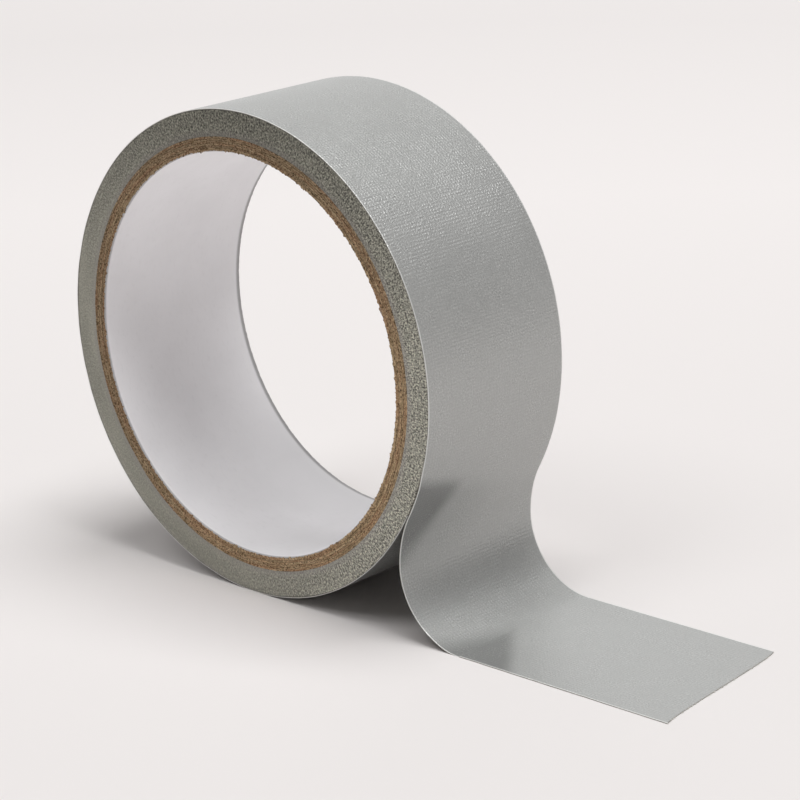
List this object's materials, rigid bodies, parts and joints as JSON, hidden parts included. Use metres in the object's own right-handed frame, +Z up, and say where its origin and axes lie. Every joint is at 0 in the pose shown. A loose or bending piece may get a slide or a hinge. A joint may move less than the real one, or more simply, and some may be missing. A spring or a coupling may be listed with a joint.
{
  "type": "duct tape roll",
  "caption": "Roll of silver cloth-backed tape on a paperboard core, standing on its rim with its free end peeled down and lying flat on the floor.",
  "frame": {"origin": "middle of the core's bore", "axes": "+Y along the bore, away from the roll's front side; +Z up; the tape's free end lies towards +X"},
  "size_m": [0.1441, 0.036, 0.0922],
  "materials": {
    "white_paper": "smooth matt liner paper",
    "kraft_board": "cut edge of brown kraft plies",
    "tape_edge": "slit edge of the wound tape, grey and slightly rough",
    "silver_backing": "satin silver-grey polyethylene film with a woven print-through",
    "cotton_scrim": "open cotton weave",
    "rubber_adhesive": "tacky grey natural-rubber adhesive"
  },
  "bodies": {
    "outer_wrap": {"outer_wrap_backing": "silver_backing", "outer_wrap_scrim": "cotton_scrim", "outer_wrap_adhesive": "rubber_adhesive"},
    "roll": {"core_liner": "white_paper", "core_ply_1": "kraft_board", "core_ply_2": "kraft_board", "core_ply_3": "kraft_board", "core_ply_4": "kraft_board", "core_ply_5": "kraft_board", "core_ply_6": "kraft_board", "wound_tape": "tape_edge"},
    "tail_hanging": {"tail_hanging_backing": "silver_backing", "tail_hanging_scrim": "cotton_scrim", "tail_hanging_adhesive": "rubber_adhesive"},
    "tail_flat": {"tail_flat_backing": "silver_backing", "tail_flat_scrim": "cotton_scrim", "tail_flat_adhesive": "rubber_adhesive"}
  },
  "joints": [
    {"name": "roll_spin", "type": "hinge", "parent": "outer_wrap", "child": "roll", "pos_m": [0, 0, 0], "axis": [0, 1, 0], "continuous": true},
    {"name": "tail_peel", "type": "hinge", "parent": "outer_wrap", "child": "tail_hanging", "pos_m": [0.04035, 0, -0.02236], "axis": [0, -1, 0], "range_deg": [0, 70]},
    {"name": "tail_lift", "type": "hinge", "parent": "tail_hanging", "child": "tail_flat", "pos_m": [0.05169, 0, -0.04591], "axis": [0, -1, 0], "range_deg": [0, 45]}
  ]
}
